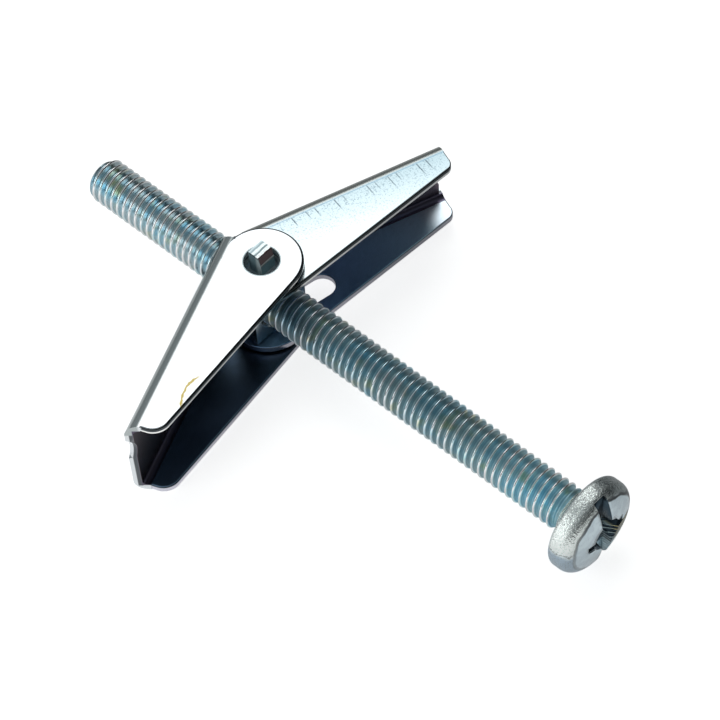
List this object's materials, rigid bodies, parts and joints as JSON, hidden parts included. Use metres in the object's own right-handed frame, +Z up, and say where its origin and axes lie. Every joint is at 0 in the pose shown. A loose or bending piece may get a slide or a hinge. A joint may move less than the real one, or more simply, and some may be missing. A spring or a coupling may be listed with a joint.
{
  "type": "spring toggle bolt",
  "caption": "Machine screw with a pan head carrying a trunnion nut and spring-opened folding channel wings, for fixing through a hollow panel.",
  "frame": {"origin": "under the middle of the bounding box, on the surface the bolt lies on", "axes": "+X along the screw towards its head, +Y towards the inner wing, +Z up along the wings' pivot axis"},
  "size_m": [0.0547, 0.0376, 0.0097],
  "materials": {
    "plated_screw": "blue-white zinc plated, bright",
    "plated_nut": "zinc plated, sheared ends",
    "plated_sheet_outer": "zinc plated sheet, bright",
    "plated_sheet_inner": "zinc plated sheet, lightly pitted",
    "spring_wire": "drawn spring wire"
  },
  "bodies": {
    "screw": {"machine_screw": "plated_screw"},
    "nut": {"trunnion_nut": "plated_nut", "bow_spring": "spring_wire"},
    "outer_wing": {"outer_wing": "plated_sheet_outer"},
    "inner_wing": {"inner_wing": "plated_sheet_inner"}
  },
  "joints": [
    {"name": "nut_feed", "type": "slide", "parent": "screw", "child": "nut", "axis": [1, 0, 0], "range_m": [-0.017, 0.0142]},
    {"name": "outer_wing_fold", "type": "hinge", "parent": "nut", "child": "outer_wing", "pos_m": [-0.00848, -0.00008, 0.0044], "axis": [0, 0, 1], "range_deg": [0, 72], "stiffness_Nm_per_rad": 0.005, "springref_deg": -28.65, "deforming": ["bow_spring"]},
    {"name": "inner_wing_fold", "type": "hinge", "parent": "nut", "child": "inner_wing", "pos_m": [-0.00848, -0.00008, 0.0044], "axis": [0, 0, -1], "range_deg": [0, 74], "stiffness_Nm_per_rad": 0.005, "springref_deg": -28.65, "deforming": ["bow_spring"]}
  ]
}
